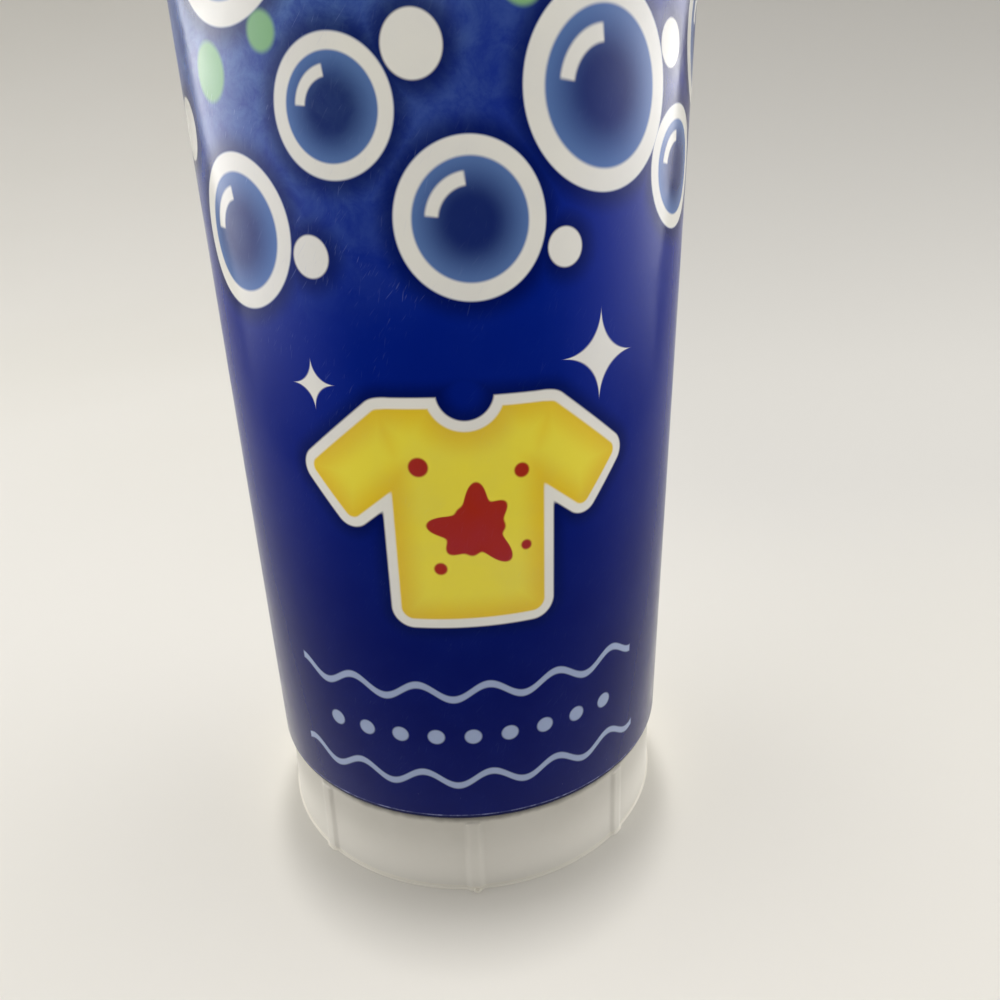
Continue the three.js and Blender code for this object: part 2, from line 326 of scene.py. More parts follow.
def rotated(tree, place, turn):
    node = tree.nodes.new("ShaderNodeVectorRotate")
    node.rotation_type = "Z_AXIS"
    feed(tree, node.inputs["Vector"], place)
    node.inputs["Angle"].default_value = turn
    return node.outputs["Vector"]


def split(tree, place):
    node = tree.nodes.new("ShaderNodeSeparateXYZ")
    feed(tree, node.inputs[0], place)
    return node.outputs


def bump(tree, height, strength, distance):
    node = tree.nodes.new("ShaderNodeBump")
    feed(tree, node.inputs["Height"], height)
    node.inputs["Strength"].default_value = strength
    node.inputs["Distance"].default_value = distance * MM
    return node.outputs["Normal"]


def new_group(name, inputs, outputs):
    """A shader node group with these sockets, and the sockets of its ends by name."""
    tree = bpy.data.node_groups.new(name, "ShaderNodeTree")
    for socket, kind in inputs.items():
        tree.interface.new_socket(socket, in_out="INPUT", socket_type=kind)
    for socket, kind in outputs.items():
        tree.interface.new_socket(socket, in_out="OUTPUT", socket_type=kind)
    enter = tree.nodes.new("NodeGroupInput")
    leave = tree.nodes.new("NodeGroupOutput")
    return tree, enter.outputs, leave.inputs


def use_group(tree, group, **values):
    node = tree.nodes.new("ShaderNodeGroup")
    node.node_tree = group
    for name, value in values.items():
        feed(tree, node.inputs[name], value)
    return node.outputs


def new_material(name):
    material = bpy.data.materials.new(name)
    material.use_nodes = True
    return material, material.node_tree, material.node_tree.nodes["Principled BSDF"]


NUMBER = "NodeSocketFloat"
VECTOR = "NodeSocketVector"
COLOUR = "NodeSocketColor"


# Scratches of the handling marks: their lean in radians, and how fast they end
SCRATCHES = ((-1.05, 0.8), (-0.85, 0.5), (-1.35, 0.65))


# Effects shared by several materials
def make_moulding_grain():
    """Fine spark-eroded grain, slow flow marks and a cloudy tint of moulded plastic."""
    tree, enter, leave = new_group("moulding_grain", {"Place": VECTOR}, {"Height": NUMBER, "Cloud": NUMBER})
    grain = noise(tree, enter["Place"], 5200, detail=3, roughness=0.6)
    flow = noise(tree, stretched(tree, enter["Place"], (1, 1, 0.35)), 240, detail=2)
    tree.links.new(calc(tree, "MULTIPLY_ADD", flow, 1.6, grain), leave["Height"])
    cloud = noise(tree, enter["Place"], 130, detail=4, roughness=0.6)
    tree.links.new(cloud, leave["Cloud"])
    return tree


def make_handling_marks():
    """Short slanting scratches, rubbed patches and small flecks, from a place in millimetres."""
    tree, enter, leave = new_group(
        "handling_marks", {"Place": VECTOR}, {"Scratches": NUMBER, "Rub": NUMBER, "Flecks": NUMBER}
    )
    rub = ramp(tree, noise(tree, enter["Place"], 0.16, detail=4, roughness=0.62), 0.40, 0.66)
    marks = 0.0
    for lean, shortness in SCRATCHES:
        along = rotated(tree, enter["Place"], lean)
        lines = noise(tree, stretched(tree, along, (shortness, 6.0, 1)), 1.0, detail=1)
        marks = calc(tree, "MAXIMUM", marks, ramp(tree, lines, 0.66, 0.76))
    tree.links.new(calc(tree, "MULTIPLY", marks, rub), leave["Scratches"])
    tree.links.new(rub, leave["Rub"])
    flecks = noise(tree, stretched(tree, enter["Place"], (2.4, 1.1, 2.4)), 1.0, detail=2, roughness=0.7)
    tree.links.new(ramp(tree, flecks, 0.71, 0.76), leave["Flecks"])
    return tree


# Shapes of the print, as distances in millimetres from their outlines
def length_of(tree, across, up):
    return calc(tree, "SQRT", calc(tree, "MULTIPLY_ADD", across, across, calc(tree, "MULTIPLY", up, up)))


def make_ring_distance():
    tree, enter, leave = new_group(
        "ring_distance",
        {"Across": NUMBER, "Up": NUMBER, "Middle Across": NUMBER, "Middle Up": NUMBER, "Radius": NUMBER,
         "Half Stroke": NUMBER},
        {"Distance": NUMBER},
    )
    across = calc(tree, "SUBTRACT", enter["Across"], enter["Middle Across"])
    up = calc(tree, "SUBTRACT", enter["Up"], enter["Middle Up"])
    length = length_of(tree, across, up)
    off = calc(tree, "ABSOLUTE", calc(tree, "SUBTRACT", length, enter["Radius"]))
    tree.links.new(calc(tree, "SUBTRACT", off, enter["Half Stroke"]), leave["Distance"])
    return tree


def make_panel_distance():
    """Distance from a turned panel with rounded corners."""
    tree, enter, leave = new_group(
        "panel_distance",
        {"Across": NUMBER, "Up": NUMBER, "Middle Across": NUMBER, "Middle Up": NUMBER, "Half Width": NUMBER,
         "Half Height": NUMBER, "Turn": NUMBER, "Rounding": NUMBER},
        {"Distance": NUMBER},
    )
    across = calc(tree, "SUBTRACT", enter["Across"], enter["Middle Across"])
    up = calc(tree, "SUBTRACT", enter["Up"], enter["Middle Up"])
    cosine = calc(tree, "COSINE", enter["Turn"])
    sine = calc(tree, "SINE", enter["Turn"])
    along = calc(tree, "MULTIPLY_ADD", across, cosine, calc(tree, "MULTIPLY", up, sine))
    aside = calc(tree, "SUBTRACT", calc(tree, "MULTIPLY", up, cosine), calc(tree, "MULTIPLY", across, sine))
    past = []
    for place, half in ((along, "Half Width"), (aside, "Half Height")):
        flat = calc(tree, "SUBTRACT", enter[half], enter["Rounding"])
        past.append(calc(tree, "SUBTRACT", calc(tree, "ABSOLUTE", place), flat))
    out = [calc(tree, "MAXIMUM", edge, 0.0) for edge in past]
    corner = length_of(tree, *out)
    inside = calc(tree, "MINIMUM", calc(tree, "MAXIMUM", past[0], past[1]), 0.0)
    whole = calc(tree, "SUBTRACT", calc(tree, "ADD", corner, inside), enter["Rounding"])
    tree.links.new(whole, leave["Distance"])
    return tree


# Generic print: rising bubbles, a shirt with a splash on it, water and drops, on a deep blue ground
PRINT_EDGE = 0.11  # half the softness of a printed edge
GROUND = (1, 31, 138)
GROUND_LOW = (1, 8, 88)
GROUND_SHADE = (0, 9, 70)
GLOW = (104, 138, 196)
WHITE_INK = (242, 240, 232)
PALE_INK = (166, 180, 212)
GREEN_INK = (140, 190, 134)
SHIRT_INK = (246, 230, 70)
SHIRT_SHADE = (238, 202, 42)
SPLASH_INK = (174, 46, 12)
GLOW_PLACE = (-15.0, 86.0)
HANDLED_PLACE = (-11.0, 66.0)  # where hands have rubbed the print
BUBBLES = (  # across, up, radius
    (-17.6, 62.8, 5.6),
    (-7.6, 70.6, 4.4),
    (1.6, 63.4, 5.4),
    (12.0, 71.6, 6.6),
    (22.0, 66.6, 4.6),
    (28.6, 76.8, 5.4),
    (-15.4, 82.4, 6.4),
    (2.4, 85.0, 5.2),
    (16.8, 89.4, 5.8),
)
SPOTS = (  # across, up, radius
    (-10.4, 61.2, 1.5),
    (-1.8, 74.0, 2.0),
    (8.6, 61.4, 1.4),
    (19.6, 75.0, 1.6),
    (-25.6, 70.4, 2.3),
    (-6.0, 94.0, 2.2),
)
GREEN_SPOTS = ((-18.6, 73.6, 1.9), (-12.4, 75.4, 1.2), (5.4, 77.6, 1.5), (-4.2, 79.8, 2.3))
SHIRT_PLACE = (0.6, 42.6)
SHIRT_PANELS = (  # middle across, middle up, half width, half height, turn in degrees, rounding
    (0.0, -2.2, 6.2, 8.6, 0.0, 1.1),
    (0.0, 4.6, 7.4, 3.0, 0.0, 1.4),
    (-8.3, 2.9, 4.3, 2.9, 38.0, 0.8),
    (8.3, 2.9, 4.3, 2.9, -38.0, 0.8),
)
COLLAR_PLACE = (0.0, 8.8)
COLLAR_RADIUS = 3.1
SHIRT_RIM = 0.85
SPLASH_PLACE = (0.4, -2.4)
SPLASH_RADIUS = 2.9
SPLASH_LOBES = ((3, 0.55, 0.6), (5, 0.5, 2.1), (8, 0.32, 1.0))  # their number, height and turn
SPLASH_DROPS = ((4.3, 2.2, 0.62), (-3.9, 2.9, 0.8), (4.6, -4.4, 0.45), (-2.6, -6.0, 0.55))
SPARKLES = ((11.4, 10.6, 3.6), (-12.2, 9.2, 2.0))
SPARKLE_POWER = 0.55  # below 1 the sides of a sparkle curve in
WATER_LINES = (  # height, wave height, wave length, half length, half stroke
    (24.2, 0.75, 6.4, 17.5, 0.36),
    (14.4, 0.75, 6.4, 18.5, 0.36),
)
DROP_ROW = 19.3
DROP_SPACING = 3.4
DROP_RADIUS = 0.78
DROP_ROW_HALF = 13.7
BUBBLE_SHADOW = 1.9  # reach of the soft dark edge around the shapes
SHIRT_SHADOW = 1.6


def nearest_of(tree, distances):
    nearest = distances[0]
    for away in distances[1:]:
        nearest = calc(tree, "MINIMUM", nearest, away)
    return nearest


def print_ring(tree, across, up, middle, radius, half):
    values = {
        "Across": across, "Up": up, "Middle Across": middle[0], "Middle Up": middle[1], "Radius": radius,
        "Half Stroke": half,
    }
    return use_group(tree, ring_distance, **values)["Distance"]


def print_discs(tree, across, up, discs):
    return nearest_of(
        tree, [print_ring(tree, across, up, disc[:2], 0.0, disc[2]) for disc in discs]
    )


def make_bubble():
    """One bubble: the distance from its outline, the white of its rim and shine, and its pale wall."""
    tree, enter, leave = new_group(
        "bubble",
        {"Across": NUMBER, "Up": NUMBER, "Middle Across": NUMBER, "Middle Up": NUMBER, "Radius": NUMBER},
        {"Distance": NUMBER, "White": NUMBER, "Wall": NUMBER},
    )
    across = calc(tree, "SUBTRACT", enter["Across"], enter["Middle Across"])
    up = calc(tree, "SUBTRACT", enter["Up"], enter["Middle Up"])
    length = length_of(tree, across, up)
    away = calc(tree, "SUBTRACT", length, enter["Radius"])
    share = calc(tree, "DIVIDE", length, enter["Radius"])
    rim = ramp(tree, share, 0.74, 0.79)
    wall = ramp(tree, share, 0.25, 0.85, 0.06, 0.8)
    slanted = calc(tree, "SUBTRACT", up, across)
    lean = calc(tree, "DIVIDE", slanted, calc(tree, "MULTIPLY", length, math.sqrt(2)))
    arc = calc(tree, "MULTIPLY", ramp(tree, share, 0.40, 0.45), ramp(tree, share, 0.62, 0.57))
    shine = calc(tree, "MULTIPLY", arc, ramp(tree, lean, 0.76, 0.82))
    inside = ramp(tree, away, PRINT_EDGE, -PRINT_EDGE)
    tree.links.new(calc(tree, "MULTIPLY", calc(tree, "MAXIMUM", rim, shine), inside), leave["White"])
    tree.links.new(calc(tree, "MULTIPLY", wall, inside), leave["Wall"])
    tree.links.new(away, leave["Distance"])
    return tree


def print_bubbles(tree, across, up):
    distances = []
    white = 0.0
    wall = 0.0
    for middle_across, middle_up, radius in BUBBLES:
        values = {
            "Across": across, "Up": up, "Middle Across": middle_across, "Middle Up": middle_up,
            "Radius": radius,
        }
        made = use_group(tree, bubble, **values)
        distances.append(made["Distance"])
        white = calc(tree, "MAXIMUM", white, made["White"])
        wall = calc(tree, "MAXIMUM", wall, made["Wall"])
    return nearest_of(tree, distances), white, wall


def print_shirt(tree, across, up):
    nearest = None
    for middle_across, middle_up, half_width, half_height, turn, rounding in SHIRT_PANELS:
        values = {
            "Across": across, "Up": up, "Middle Across": middle_across, "Middle Up": middle_up,
            "Half Width": half_width, "Half Height": half_height, "Turn": math.radians(turn),
            "Rounding": rounding,
        }
        away = use_group(tree, panel_distance, **values)["Distance"]
        nearest = away if nearest is None else calc(tree, "SMOOTH_MIN", nearest, away, 0.5)
    collar = print_ring(tree, across, up, COLLAR_PLACE, 0.0, COLLAR_RADIUS)
    return calc(tree, "MAXIMUM", nearest, calc(tree, "MULTIPLY", collar, -1.0))


def print_splash(tree, across, up):
    """A blot with uneven lobes, and drops thrown off it."""
    beside = calc(tree, "SUBTRACT", across, SPLASH_PLACE[0])
    above = calc(tree, "SUBTRACT", up, SPLASH_PLACE[1])
    turn = calc(tree, "ARCTAN2", beside, above)
    reach = SPLASH_RADIUS
    for count, rise, start in SPLASH_LOBES:
        wave = calc(tree, "SINE", calc(tree, "MULTIPLY_ADD", turn, float(count), start))
        reach = calc(tree, "MULTIPLY_ADD", wave, rise, reach)
    blot = calc(tree, "SUBTRACT", print_ring(tree, across, up, SPLASH_PLACE, 0.0, 0.0), reach)
    return nearest_of(tree, [blot, print_discs(tree, across, up, SPLASH_DROPS)])


def print_sparkle(tree, across, up, middle_across, middle_up, size):
    """A four-pointed star: negative inside."""
    arms = []
    for place, centre in ((across, middle_across), (up, middle_up)):
        away = calc(tree, "ABSOLUTE", calc(tree, "SUBTRACT", place, centre))
        arms.append(calc(tree, "POWER", away, SPARKLE_POWER))
    return calc(tree, "SUBTRACT", calc(tree, "ADD", *arms), size ** SPARKLE_POWER)


def print_water(tree, across, up):
    """Wavy lines, and a row of drops between them."""
    lines = []
    for height, wave, length, half_length, half in WATER_LINES:
        rise = calc(tree, "SINE", calc(tree, "MULTIPLY", across, WHOLE_TURN / length))
        level = calc(tree, "MULTIPLY_ADD", rise, wave, height)
        away = calc(tree, "SUBTRACT", calc(tree, "ABSOLUTE", calc(tree, "SUBTRACT", up, level)), half)
        ends = calc(tree, "SUBTRACT", calc(tree, "ABSOLUTE", across), half_length)
        lines.append(calc(tree, "MAXIMUM", away, ends))
    drop_number = calc(tree, "ROUND", calc(tree, "DIVIDE", across, DROP_SPACING))
    nearest_drop = calc(tree, "MULTIPLY", drop_number, DROP_SPACING)
    beside = calc(tree, "SUBTRACT", across, nearest_drop)
    drop = print_ring(tree, beside, up, (0.0, DROP_ROW), 0.0, DROP_RADIUS)
    ends = calc(tree, "SUBTRACT", calc(tree, "ABSOLUTE", across), DROP_ROW_HALF + DROP_RADIUS)
    lines.append(calc(tree, "MAXIMUM", drop, ends))
    return nearest_of(tree, lines)


def make_label_print():
    tree, enter, leave = new_group(
        "label_print", {"Across": NUMBER, "Up": NUMBER, "Mottle": NUMBER}, {"Colour": COLOUR}
    )
    across, up = enter["Across"], enter["Up"]

    def inked(colour, away, ink, edge=PRINT_EDGE):
        return blend(tree, ramp(tree, away, edge, -edge), colour, ink)

    def shaded(colour, away, reach):
        """A soft dark edge around a shape."""
        return blend(tree, ramp(tree, away, reach, 0.0, 0.0, 0.75), colour, paint(*GROUND_SHADE))

    glow = ramp(tree, print_ring(tree, across, up, GLOW_PLACE, 0.0, 0.0), 33.0, 4.0)
    glow = product(tree, glow, enter["Mottle"], 0.9)
    ground = blend(tree, ramp(tree, up, 18.0, 70.0), paint(*GROUND_LOW), paint(*GROUND))
    colour = blend(tree, glow, ground, paint(*GLOW))

    bubbles, white, wall = print_bubbles(tree, across, up)
    spots = print_discs(tree, across, up, SPOTS)
    colour = shaded(colour, nearest_of(tree, [bubbles, spots]), BUBBLE_SHADOW)
    colour = inked(colour, print_discs(tree, across, up, GREEN_SPOTS), paint(*GREEN_INK), 0.25)
    colour = blend(tree, wall, colour, paint(*GLOW))
    colour = blend(tree, white, colour, paint(*WHITE_INK))
    colour = inked(colour, spots, paint(*WHITE_INK))
    colour = inked(colour, print_water(tree, across, up), paint(*PALE_INK))

    shirt_across = calc(tree, "SUBTRACT", across, SHIRT_PLACE[0])
    shirt_up = calc(tree, "SUBTRACT", up, SHIRT_PLACE[1])
    shirt = print_shirt(tree, shirt_across, shirt_up)
    rim = calc(tree, "SUBTRACT", shirt, SHIRT_RIM)
    colour = shaded(colour, rim, SHIRT_SHADOW)
    colour = inked(colour, rim, paint(*WHITE_INK))
    shade = ramp(tree, shirt, -2.6, 0.2)
    colour = inked(colour, shirt, blend(tree, shade, paint(*SHIRT_INK), paint(*SHIRT_SHADE)))
    colour = inked(colour, print_splash(tree, shirt_across, shirt_up), paint(*SPLASH_INK))
    for middle_across, middle_up, size in SPARKLES:
        star = print_sparkle(tree, shirt_across, shirt_up, middle_across, middle_up, size)
        colour = inked(colour, star, paint(*WHITE_INK), 0.09)
    tree.links.new(colour, leave["Colour"])
    return tree


# Materials, with their colours as screen values from 0 to 255
FILM_CLOUD = (40, 66, 170)
SCRATCH_PALE = (150, 166, 210)
FLECK_PALE = (150, 158, 200)
CREASE_HIGHLIGHT = (140, 146, 190)
UNDER_CREASE_SHADE = (4, 5, 24)
FLECK_BAND = (13.0, 11.0)  # heights between which the label's flecks begin
HANDLED_REACH = (20.0, 5.0)  # distances between which the handled patch begins
FILM_SHEEN = (0.1, 0.2, 1.0, 1.0)
MOULDED_DULL = (210, 207, 199)
MOULDED_CLEAN = (217, 214, 207)
MOULDED_SPECK = (150, 142, 128)
DIAL_FOOT_PAINTED_LIGHT = (244, 241, 234)
DIAL_TOP_PAINTED_SHADE = (150, 146, 138)
JOINT_SHADE_GREY = (84, 80, 74)
PAINTED_HIGHLIGHT_WHITE = (250, 246, 236)
MILKY_DULL = (214, 212, 205)
MILKY_CLEAN = (226, 224, 218)
WAX_DULL = (240, 234, 216)
WAX_CLEAN = (247, 244, 232)
WAX_BLOOM = (252, 251, 246)
PAPER_DULL = (228, 225, 217)
PAPER_CLEAN = (232, 229, 223)
PAPER_PAINTED_SHADOW = (209, 207, 203)
PAPER_PAINTED_SHADE = (198, 195, 190)


def let_light_in(shader, share, depth):
    """Light that sinks into a material, to a depth in millimetres for red, green and blue."""
    shader.inputs["Subsurface Weight"].default_value = share
    shader.inputs["Subsurface Radius"].default_value = [colour * MM for colour in depth]
    shader.inputs["Subsurface Scale"].default_value = 1.0


def make_printed_film():
    material, tree, shader = new_material("printed_film")
    place = object_place(tree)
    # Across starts and ends at the seam, so that no pattern breaks anywhere else.
    parts = split(tree, rotated(tree, place, math.pi - SEAM_TURN))
    turn = calc(tree, "ARCTAN2", parts["X"], calc(tree, "MULTIPLY", parts["Y"], -1.0))
    turn = calc(tree, "SUBTRACT", turn, math.pi - SEAM_TURN)
    across = calc(tree, "MULTIPLY", turn, LABEL_RADIUS)
    up = calc(tree, "MULTIPLY", parts["Z"], 1 / MM)
    flat = tree.nodes.new("ShaderNodeCombineXYZ")
    feed(tree, flat.inputs[0], across)
    feed(tree, flat.inputs[1], up)
    flat = flat.outputs[0]

    mottle = noise(tree, flat, 0.42, detail=6, roughness=0.68, distortion=0.4)
    mottle = ramp(tree, mottle, 0.3, 0.7, 0.3, 1.0)
    values = {"Across": across, "Up": up, "Mottle": mottle}
    printed = use_group(tree, label_print, **values)["Colour"]
    marks = use_group(tree, handling_marks, Place=flat)
    tint = noise(tree, flat, 0.16, detail=3)
    printed = blend(tree, ramp(tree, tint, 0.3, 0.75, 0.0, 0.05), printed, paint(*FILM_CLOUD))
    handled = ramp(tree, print_ring(tree, across, up, HANDLED_PLACE, 0.0, 0.0), *HANDLED_REACH, 0.2, 1.0)
    scratches = calc(tree, "MULTIPLY", marks["Scratches"], handled)
    printed = blend(tree, calc(tree, "MULTIPLY", scratches, 0.15), printed, paint(*SCRATCH_PALE))
    # Pale flecks gather just above the lower edge, where the label meets hands and shelves.
    flecks = product(tree, marks["Flecks"], ramp(tree, up, *FLECK_BAND), 0.45)
    printed = blend(tree, flecks, printed, paint(*FLECK_PALE))
    # Painted highlight along the line where the film turns in under the barrel, and painted shade below it.
    printed = blend(tree, ramp(tree, up, CREASE, CREASE - 0.12, 0.0, 0.6), printed, paint(*UNDER_CREASE_SHADE))
    crease = ramp(tree, calc(tree, "ABSOLUTE", calc(tree, "SUBTRACT", up, CREASE)), 0.1, 0.03)
    patchy = ramp(tree, noise(tree, flat, 0.6, detail=4, roughness=0.65), 0.42, 0.66, 0.15, 1.0)
    printed = blend(tree, calc(tree, "MULTIPLY", crease, patchy), printed, paint(*CREASE_HIGHLIGHT))
    feed(tree, shader.inputs["Base Color"], printed)
    rough = ramp(tree, noise(tree, flat, 0.35, detail=4), 0.3, 0.7, 0.13, 0.19)
    rough = calc(tree, "MULTIPLY_ADD", marks["Rub"], 0.06, rough)
    rough = calc(tree, "MULTIPLY_ADD", scratches, 0.1, rough)
    feed(tree, shader.inputs["Roughness"], rough)
    shader.inputs["Specular IOR Level"].default_value = 0.22
    shader.inputs["Specular Tint"].default_value = FILM_SHEEN
    ripple = noise(tree, stretched(tree, flat, (0.10, 0.05, 1)), 1.0, detail=2)
    orange_peel = noise(tree, flat, 2.2, detail=2)
    height = calc(tree, "MULTIPLY_ADD", ripple, 8.0, orange_peel)
    feed(tree, shader.inputs["Normal"], bump(tree, height, 0.10, 0.05))
    return material


def make_moulded_white(name, translucence, add_painted_light=None):
    material, tree, shader = new_material(name)
    place = object_place(tree)
    grain = use_group(tree, moulding_grain, Place=place)
    marks = use_group(tree, handling_marks, Place=stretched(tree, place, (1 / MM, 1 / MM, 1 / MM)))
    cloud = ramp(tree, grain["Cloud"], 0.3, 0.7)
    colour = blend(tree, cloud, paint(*MOULDED_DULL), paint(*MOULDED_CLEAN))
    colour = blend(tree, calc(tree, "MULTIPLY", marks["Flecks"], 0.08), colour, paint(*MOULDED_SPECK))
    # Painted light and shade, added for the dial.
    if add_painted_light:
        colour = add_painted_light(tree, place, colour)
    feed(tree, shader.inputs["Base Color"], colour)
    rough = ramp(tree, grain["Cloud"], 0.25, 0.75, 0.40, 0.50)
    feed(tree, shader.inputs["Roughness"], calc(tree, "MULTIPLY_ADD", marks["Rub"], -0.06, rough))
    feed(tree, shader.inputs["Normal"], bump(tree, grain["Height"], 0.16, 0.02))
    let_light_in(shader, translucence, (1.6, 1.5, 1.3))
    return material


def paint_dial_light_and_shade(tree, place, colour):
    """Painted shade in the joint under the barrel, a painted gradient from a lighter foot to a greyer top,
    and painted highlights on the foot's edge and the grip ribs.
    """
    parts = split(tree, place)
    up = calc(tree, "MULTIPLY", parts["Z"], 1 / MM)
    out = calc(tree, "MULTIPLY", length_of(tree, parts["X"], parts["Y"]), 1 / MM)
    uneven = calc(tree, "MULTIPLY_ADD", noise(tree, place, 700, detail=3), 0.5, -0.25)
    depth = calc(tree, "ADD", up, uneven)
    # Painted light and shade: the dial is painted lighter towards its foot and greyer towards its top.
    shade = ramp(tree, up, 1.0, 8.0)
    colour = blend(tree, shade, paint(*DIAL_FOOT_PAINTED_LIGHT), colour)
    colour = blend(tree, ramp(tree, up, 4.0, 9.0, 0.0, 0.12), colour, paint(*DIAL_TOP_PAINTED_SHADE))
    # Painted shade in the joint, where the barrel's overhang shades the dial's wall.
    colour = blend(tree, ramp(tree, depth, *JOINT_SHADE_HEIGHTS, 0.0, 0.72), colour, paint(*JOINT_SHADE_GREY))
    wall = calc(tree, "MULTIPLY_ADD", up, DIAL_TAPER, DIAL_FOOT_RADIUS)
    proud = calc(tree, "SUBTRACT", out, wall)
    # Painted highlights on the rib crests, the ribs' upper ends and the foot's edge.
    crest = ramp(tree, proud, 0.08, 0.22, 0.0, 0.12)
    tip = calc(tree, "MULTIPLY", ramp(tree, up, 8.1, 8.3, 0.0, 0.5), ramp(tree, proud, 0.05, 0.15))
    foot = ramp(tree, up, 0.42, 0.3)
    pale = calc(tree, "MAXIMUM", calc(tree, "MAXIMUM", crest, foot), tip)
    return blend(tree, pale, colour, paint(*PAINTED_HIGHLIGHT_WHITE))


def make_milky_plastic():
    material, tree, shader = new_material("milky_plastic")
    place = object_place(tree)
    grain = use_group(tree, moulding_grain, Place=place)
    colour = blend(tree, ramp(tree, grain["Cloud"], 0.3, 0.7), paint(*MILKY_DULL), paint(*MILKY_CLEAN))
    feed(tree, shader.inputs["Base Color"], colour)
    feed(tree, shader.inputs["Roughness"], ramp(tree, grain["Cloud"], 0.25, 0.75, 0.34, 0.46))
    feed(tree, shader.inputs["Normal"], bump(tree, grain["Height"], 0.12, 0.02))
    let_light_in(shader, 0.35, (2.2, 2.1, 1.9))
    return material


def make_cast_wax():
    material, tree, shader = new_material("cast_wax")
    place = object_place(tree)
    cloud = noise(tree, place, 210, detail=4, roughness=0.6)
    bloom = ramp(tree, noise(tree, place, 620, detail=3, roughness=0.65), 0.45, 0.75)
    colour = blend(tree, ramp(tree, cloud, 0.3, 0.7), paint(*WAX_DULL), paint(*WAX_CLEAN))
    colour = blend(tree, calc(tree, "MULTIPLY", bloom, 0.35), colour, paint(*WAX_BLOOM))
    feed(tree, shader.inputs["Base Color"], colour)
    feed(tree, shader.inputs["Roughness"], calc(tree, "MULTIPLY_ADD", bloom, 0.2, 0.42))
    dimples = noise(tree, place, 900, detail=3, roughness=0.6)
    height = calc(tree, "MULTIPLY_ADD", cloud, 2.5, dimples)
    feed(tree, shader.inputs["Normal"], bump(tree, height, 0.25, 0.05))
    let_light_in(shader, 0.6, (3.2, 2.8, 2.0))
    return material


def make_studio_paper():
    material, tree, shader = new_material("studio_paper")
    place = object_place(tree)
    fibre = noise(tree, place, 900, detail=3)
    patch = noise(tree, place, 6, detail=2)
    colour = blend(tree, ramp(tree, patch, 0.3, 0.7), paint(*PAPER_DULL), paint(*PAPER_CLEAN))
    parts = split(tree, place)
    # Painted shadow and shade: the paper greys a little beyond the object, most to the right, and where it
    # rises.
    far = ramp(tree, parts["Y"], -0.04, 0.09)
    right = ramp(tree, parts["X"], -0.02, 0.08, 0.45, 1.0)
    colour = blend(tree, calc(tree, "MULTIPLY", far, right), colour, paint(*PAPER_PAINTED_SHADOW))
    colour = blend(tree, ramp(tree, parts["Z"], 0.05, 0.3, 0.0, 0.3), colour, paint(*PAPER_PAINTED_SHADE))
    feed(tree, shader.inputs["Base Color"], colour)
    shader.inputs["Roughness"].default_value = 0.75
    feed(tree, shader.inputs["Normal"], bump(tree, fibre, 0.05, 0.05))
    return material


# Pieces
def make_dial():
    """Cup on a standing rim: grip ribs outside, a spigot for the barrel and a hub for the spindle."""
    floor_top = FOOT_RECESS + DIAL_FLOOR
    rows = [GRIP_TOP - GRIP_END * (1 - row / GRIP_ROWS) for row in range(GRIP_ROWS + 1)]
    shape = turned(
        [
            (0, FOOT_RECESS, 0),
            (DIAL_FOOT_RADIUS - FOOT_RIM, FOOT_RECESS, 0.5),
            (DIAL_FOOT_RADIUS - FOOT_RIM, 0, 0.35),
            (DIAL_FOOT_RADIUS + FLASH_RING, 0, 0.02),
            (DIAL_FOOT_RADIUS + FLASH_RING, FLASH_EDGE, 0.03),
            (DIAL_FOOT_RADIUS, FLASH_ROOT, 0.04),
            *((DIAL_FOOT_RADIUS + DIAL_TAPER * height, height, 0) for height in rows),
            (DIAL_TOP_RADIUS, DIAL_TOP, 0.3),
            (SPIGOT_RADIUS, DIAL_TOP, 0.2),
            (SPIGOT_RADIUS, SPIGOT_TOP, 0.3),
            (DIAL_INSIDE, SPIGOT_TOP, 0.3),
            (DIAL_INSIDE, floor_top, 0.6),
            (HUB_RADIUS, floor_top, 0.6),
            (HUB_RADIUS, SPIGOT_TOP, 0.25),
            (SOCKET_RADIUS, SPIGOT_TOP, 0.25),
            (SOCKET_RADIUS, floor_top, 0),
            (0, floor_top, 0),
        ],
        closed=False, steps=DIAL_STEPS, start=FRONT_GRIP,
    )
    raise_grips(shape)
    add_flash(shape)
    piece("dial_body", shape, "dial", "dial", shade_painted_white)


def raise_grips(shape):
    """Soft ribs up the wall, from the standing rim to just below the barrel."""
    share = WHOLE_TURN / GRIP_COUNT
    alike = {}
    for point in shape.verts:
        at = point.co / MM
        off = math.remainder(math.atan2(at.x, -at.y) - FRONT_GRIP, share) * DIAL_FOOT_RADIUS
        if at.xy.length > DIAL_TOP_RADIUS and at.z < GRIP_TOP and abs(off) < GRIP_HALF:
            side = math.sin(QUARTER_TURN * min(1.0, (GRIP_HALF - abs(off)) / GRIP_SIDE)) ** 2
            end = math.sin(QUARTER_TURN * min(1.0, (GRIP_TOP - at.z) / GRIP_END)) ** 2
            grow = round(1 + GRIP_RISE * side * end / at.xy.length, 6)
            alike.setdefault(grow, []).append(point)
    for grow, points in alike.items():
        bmesh.ops.scale(shape, vec=(grow, grow, 1), verts=points)


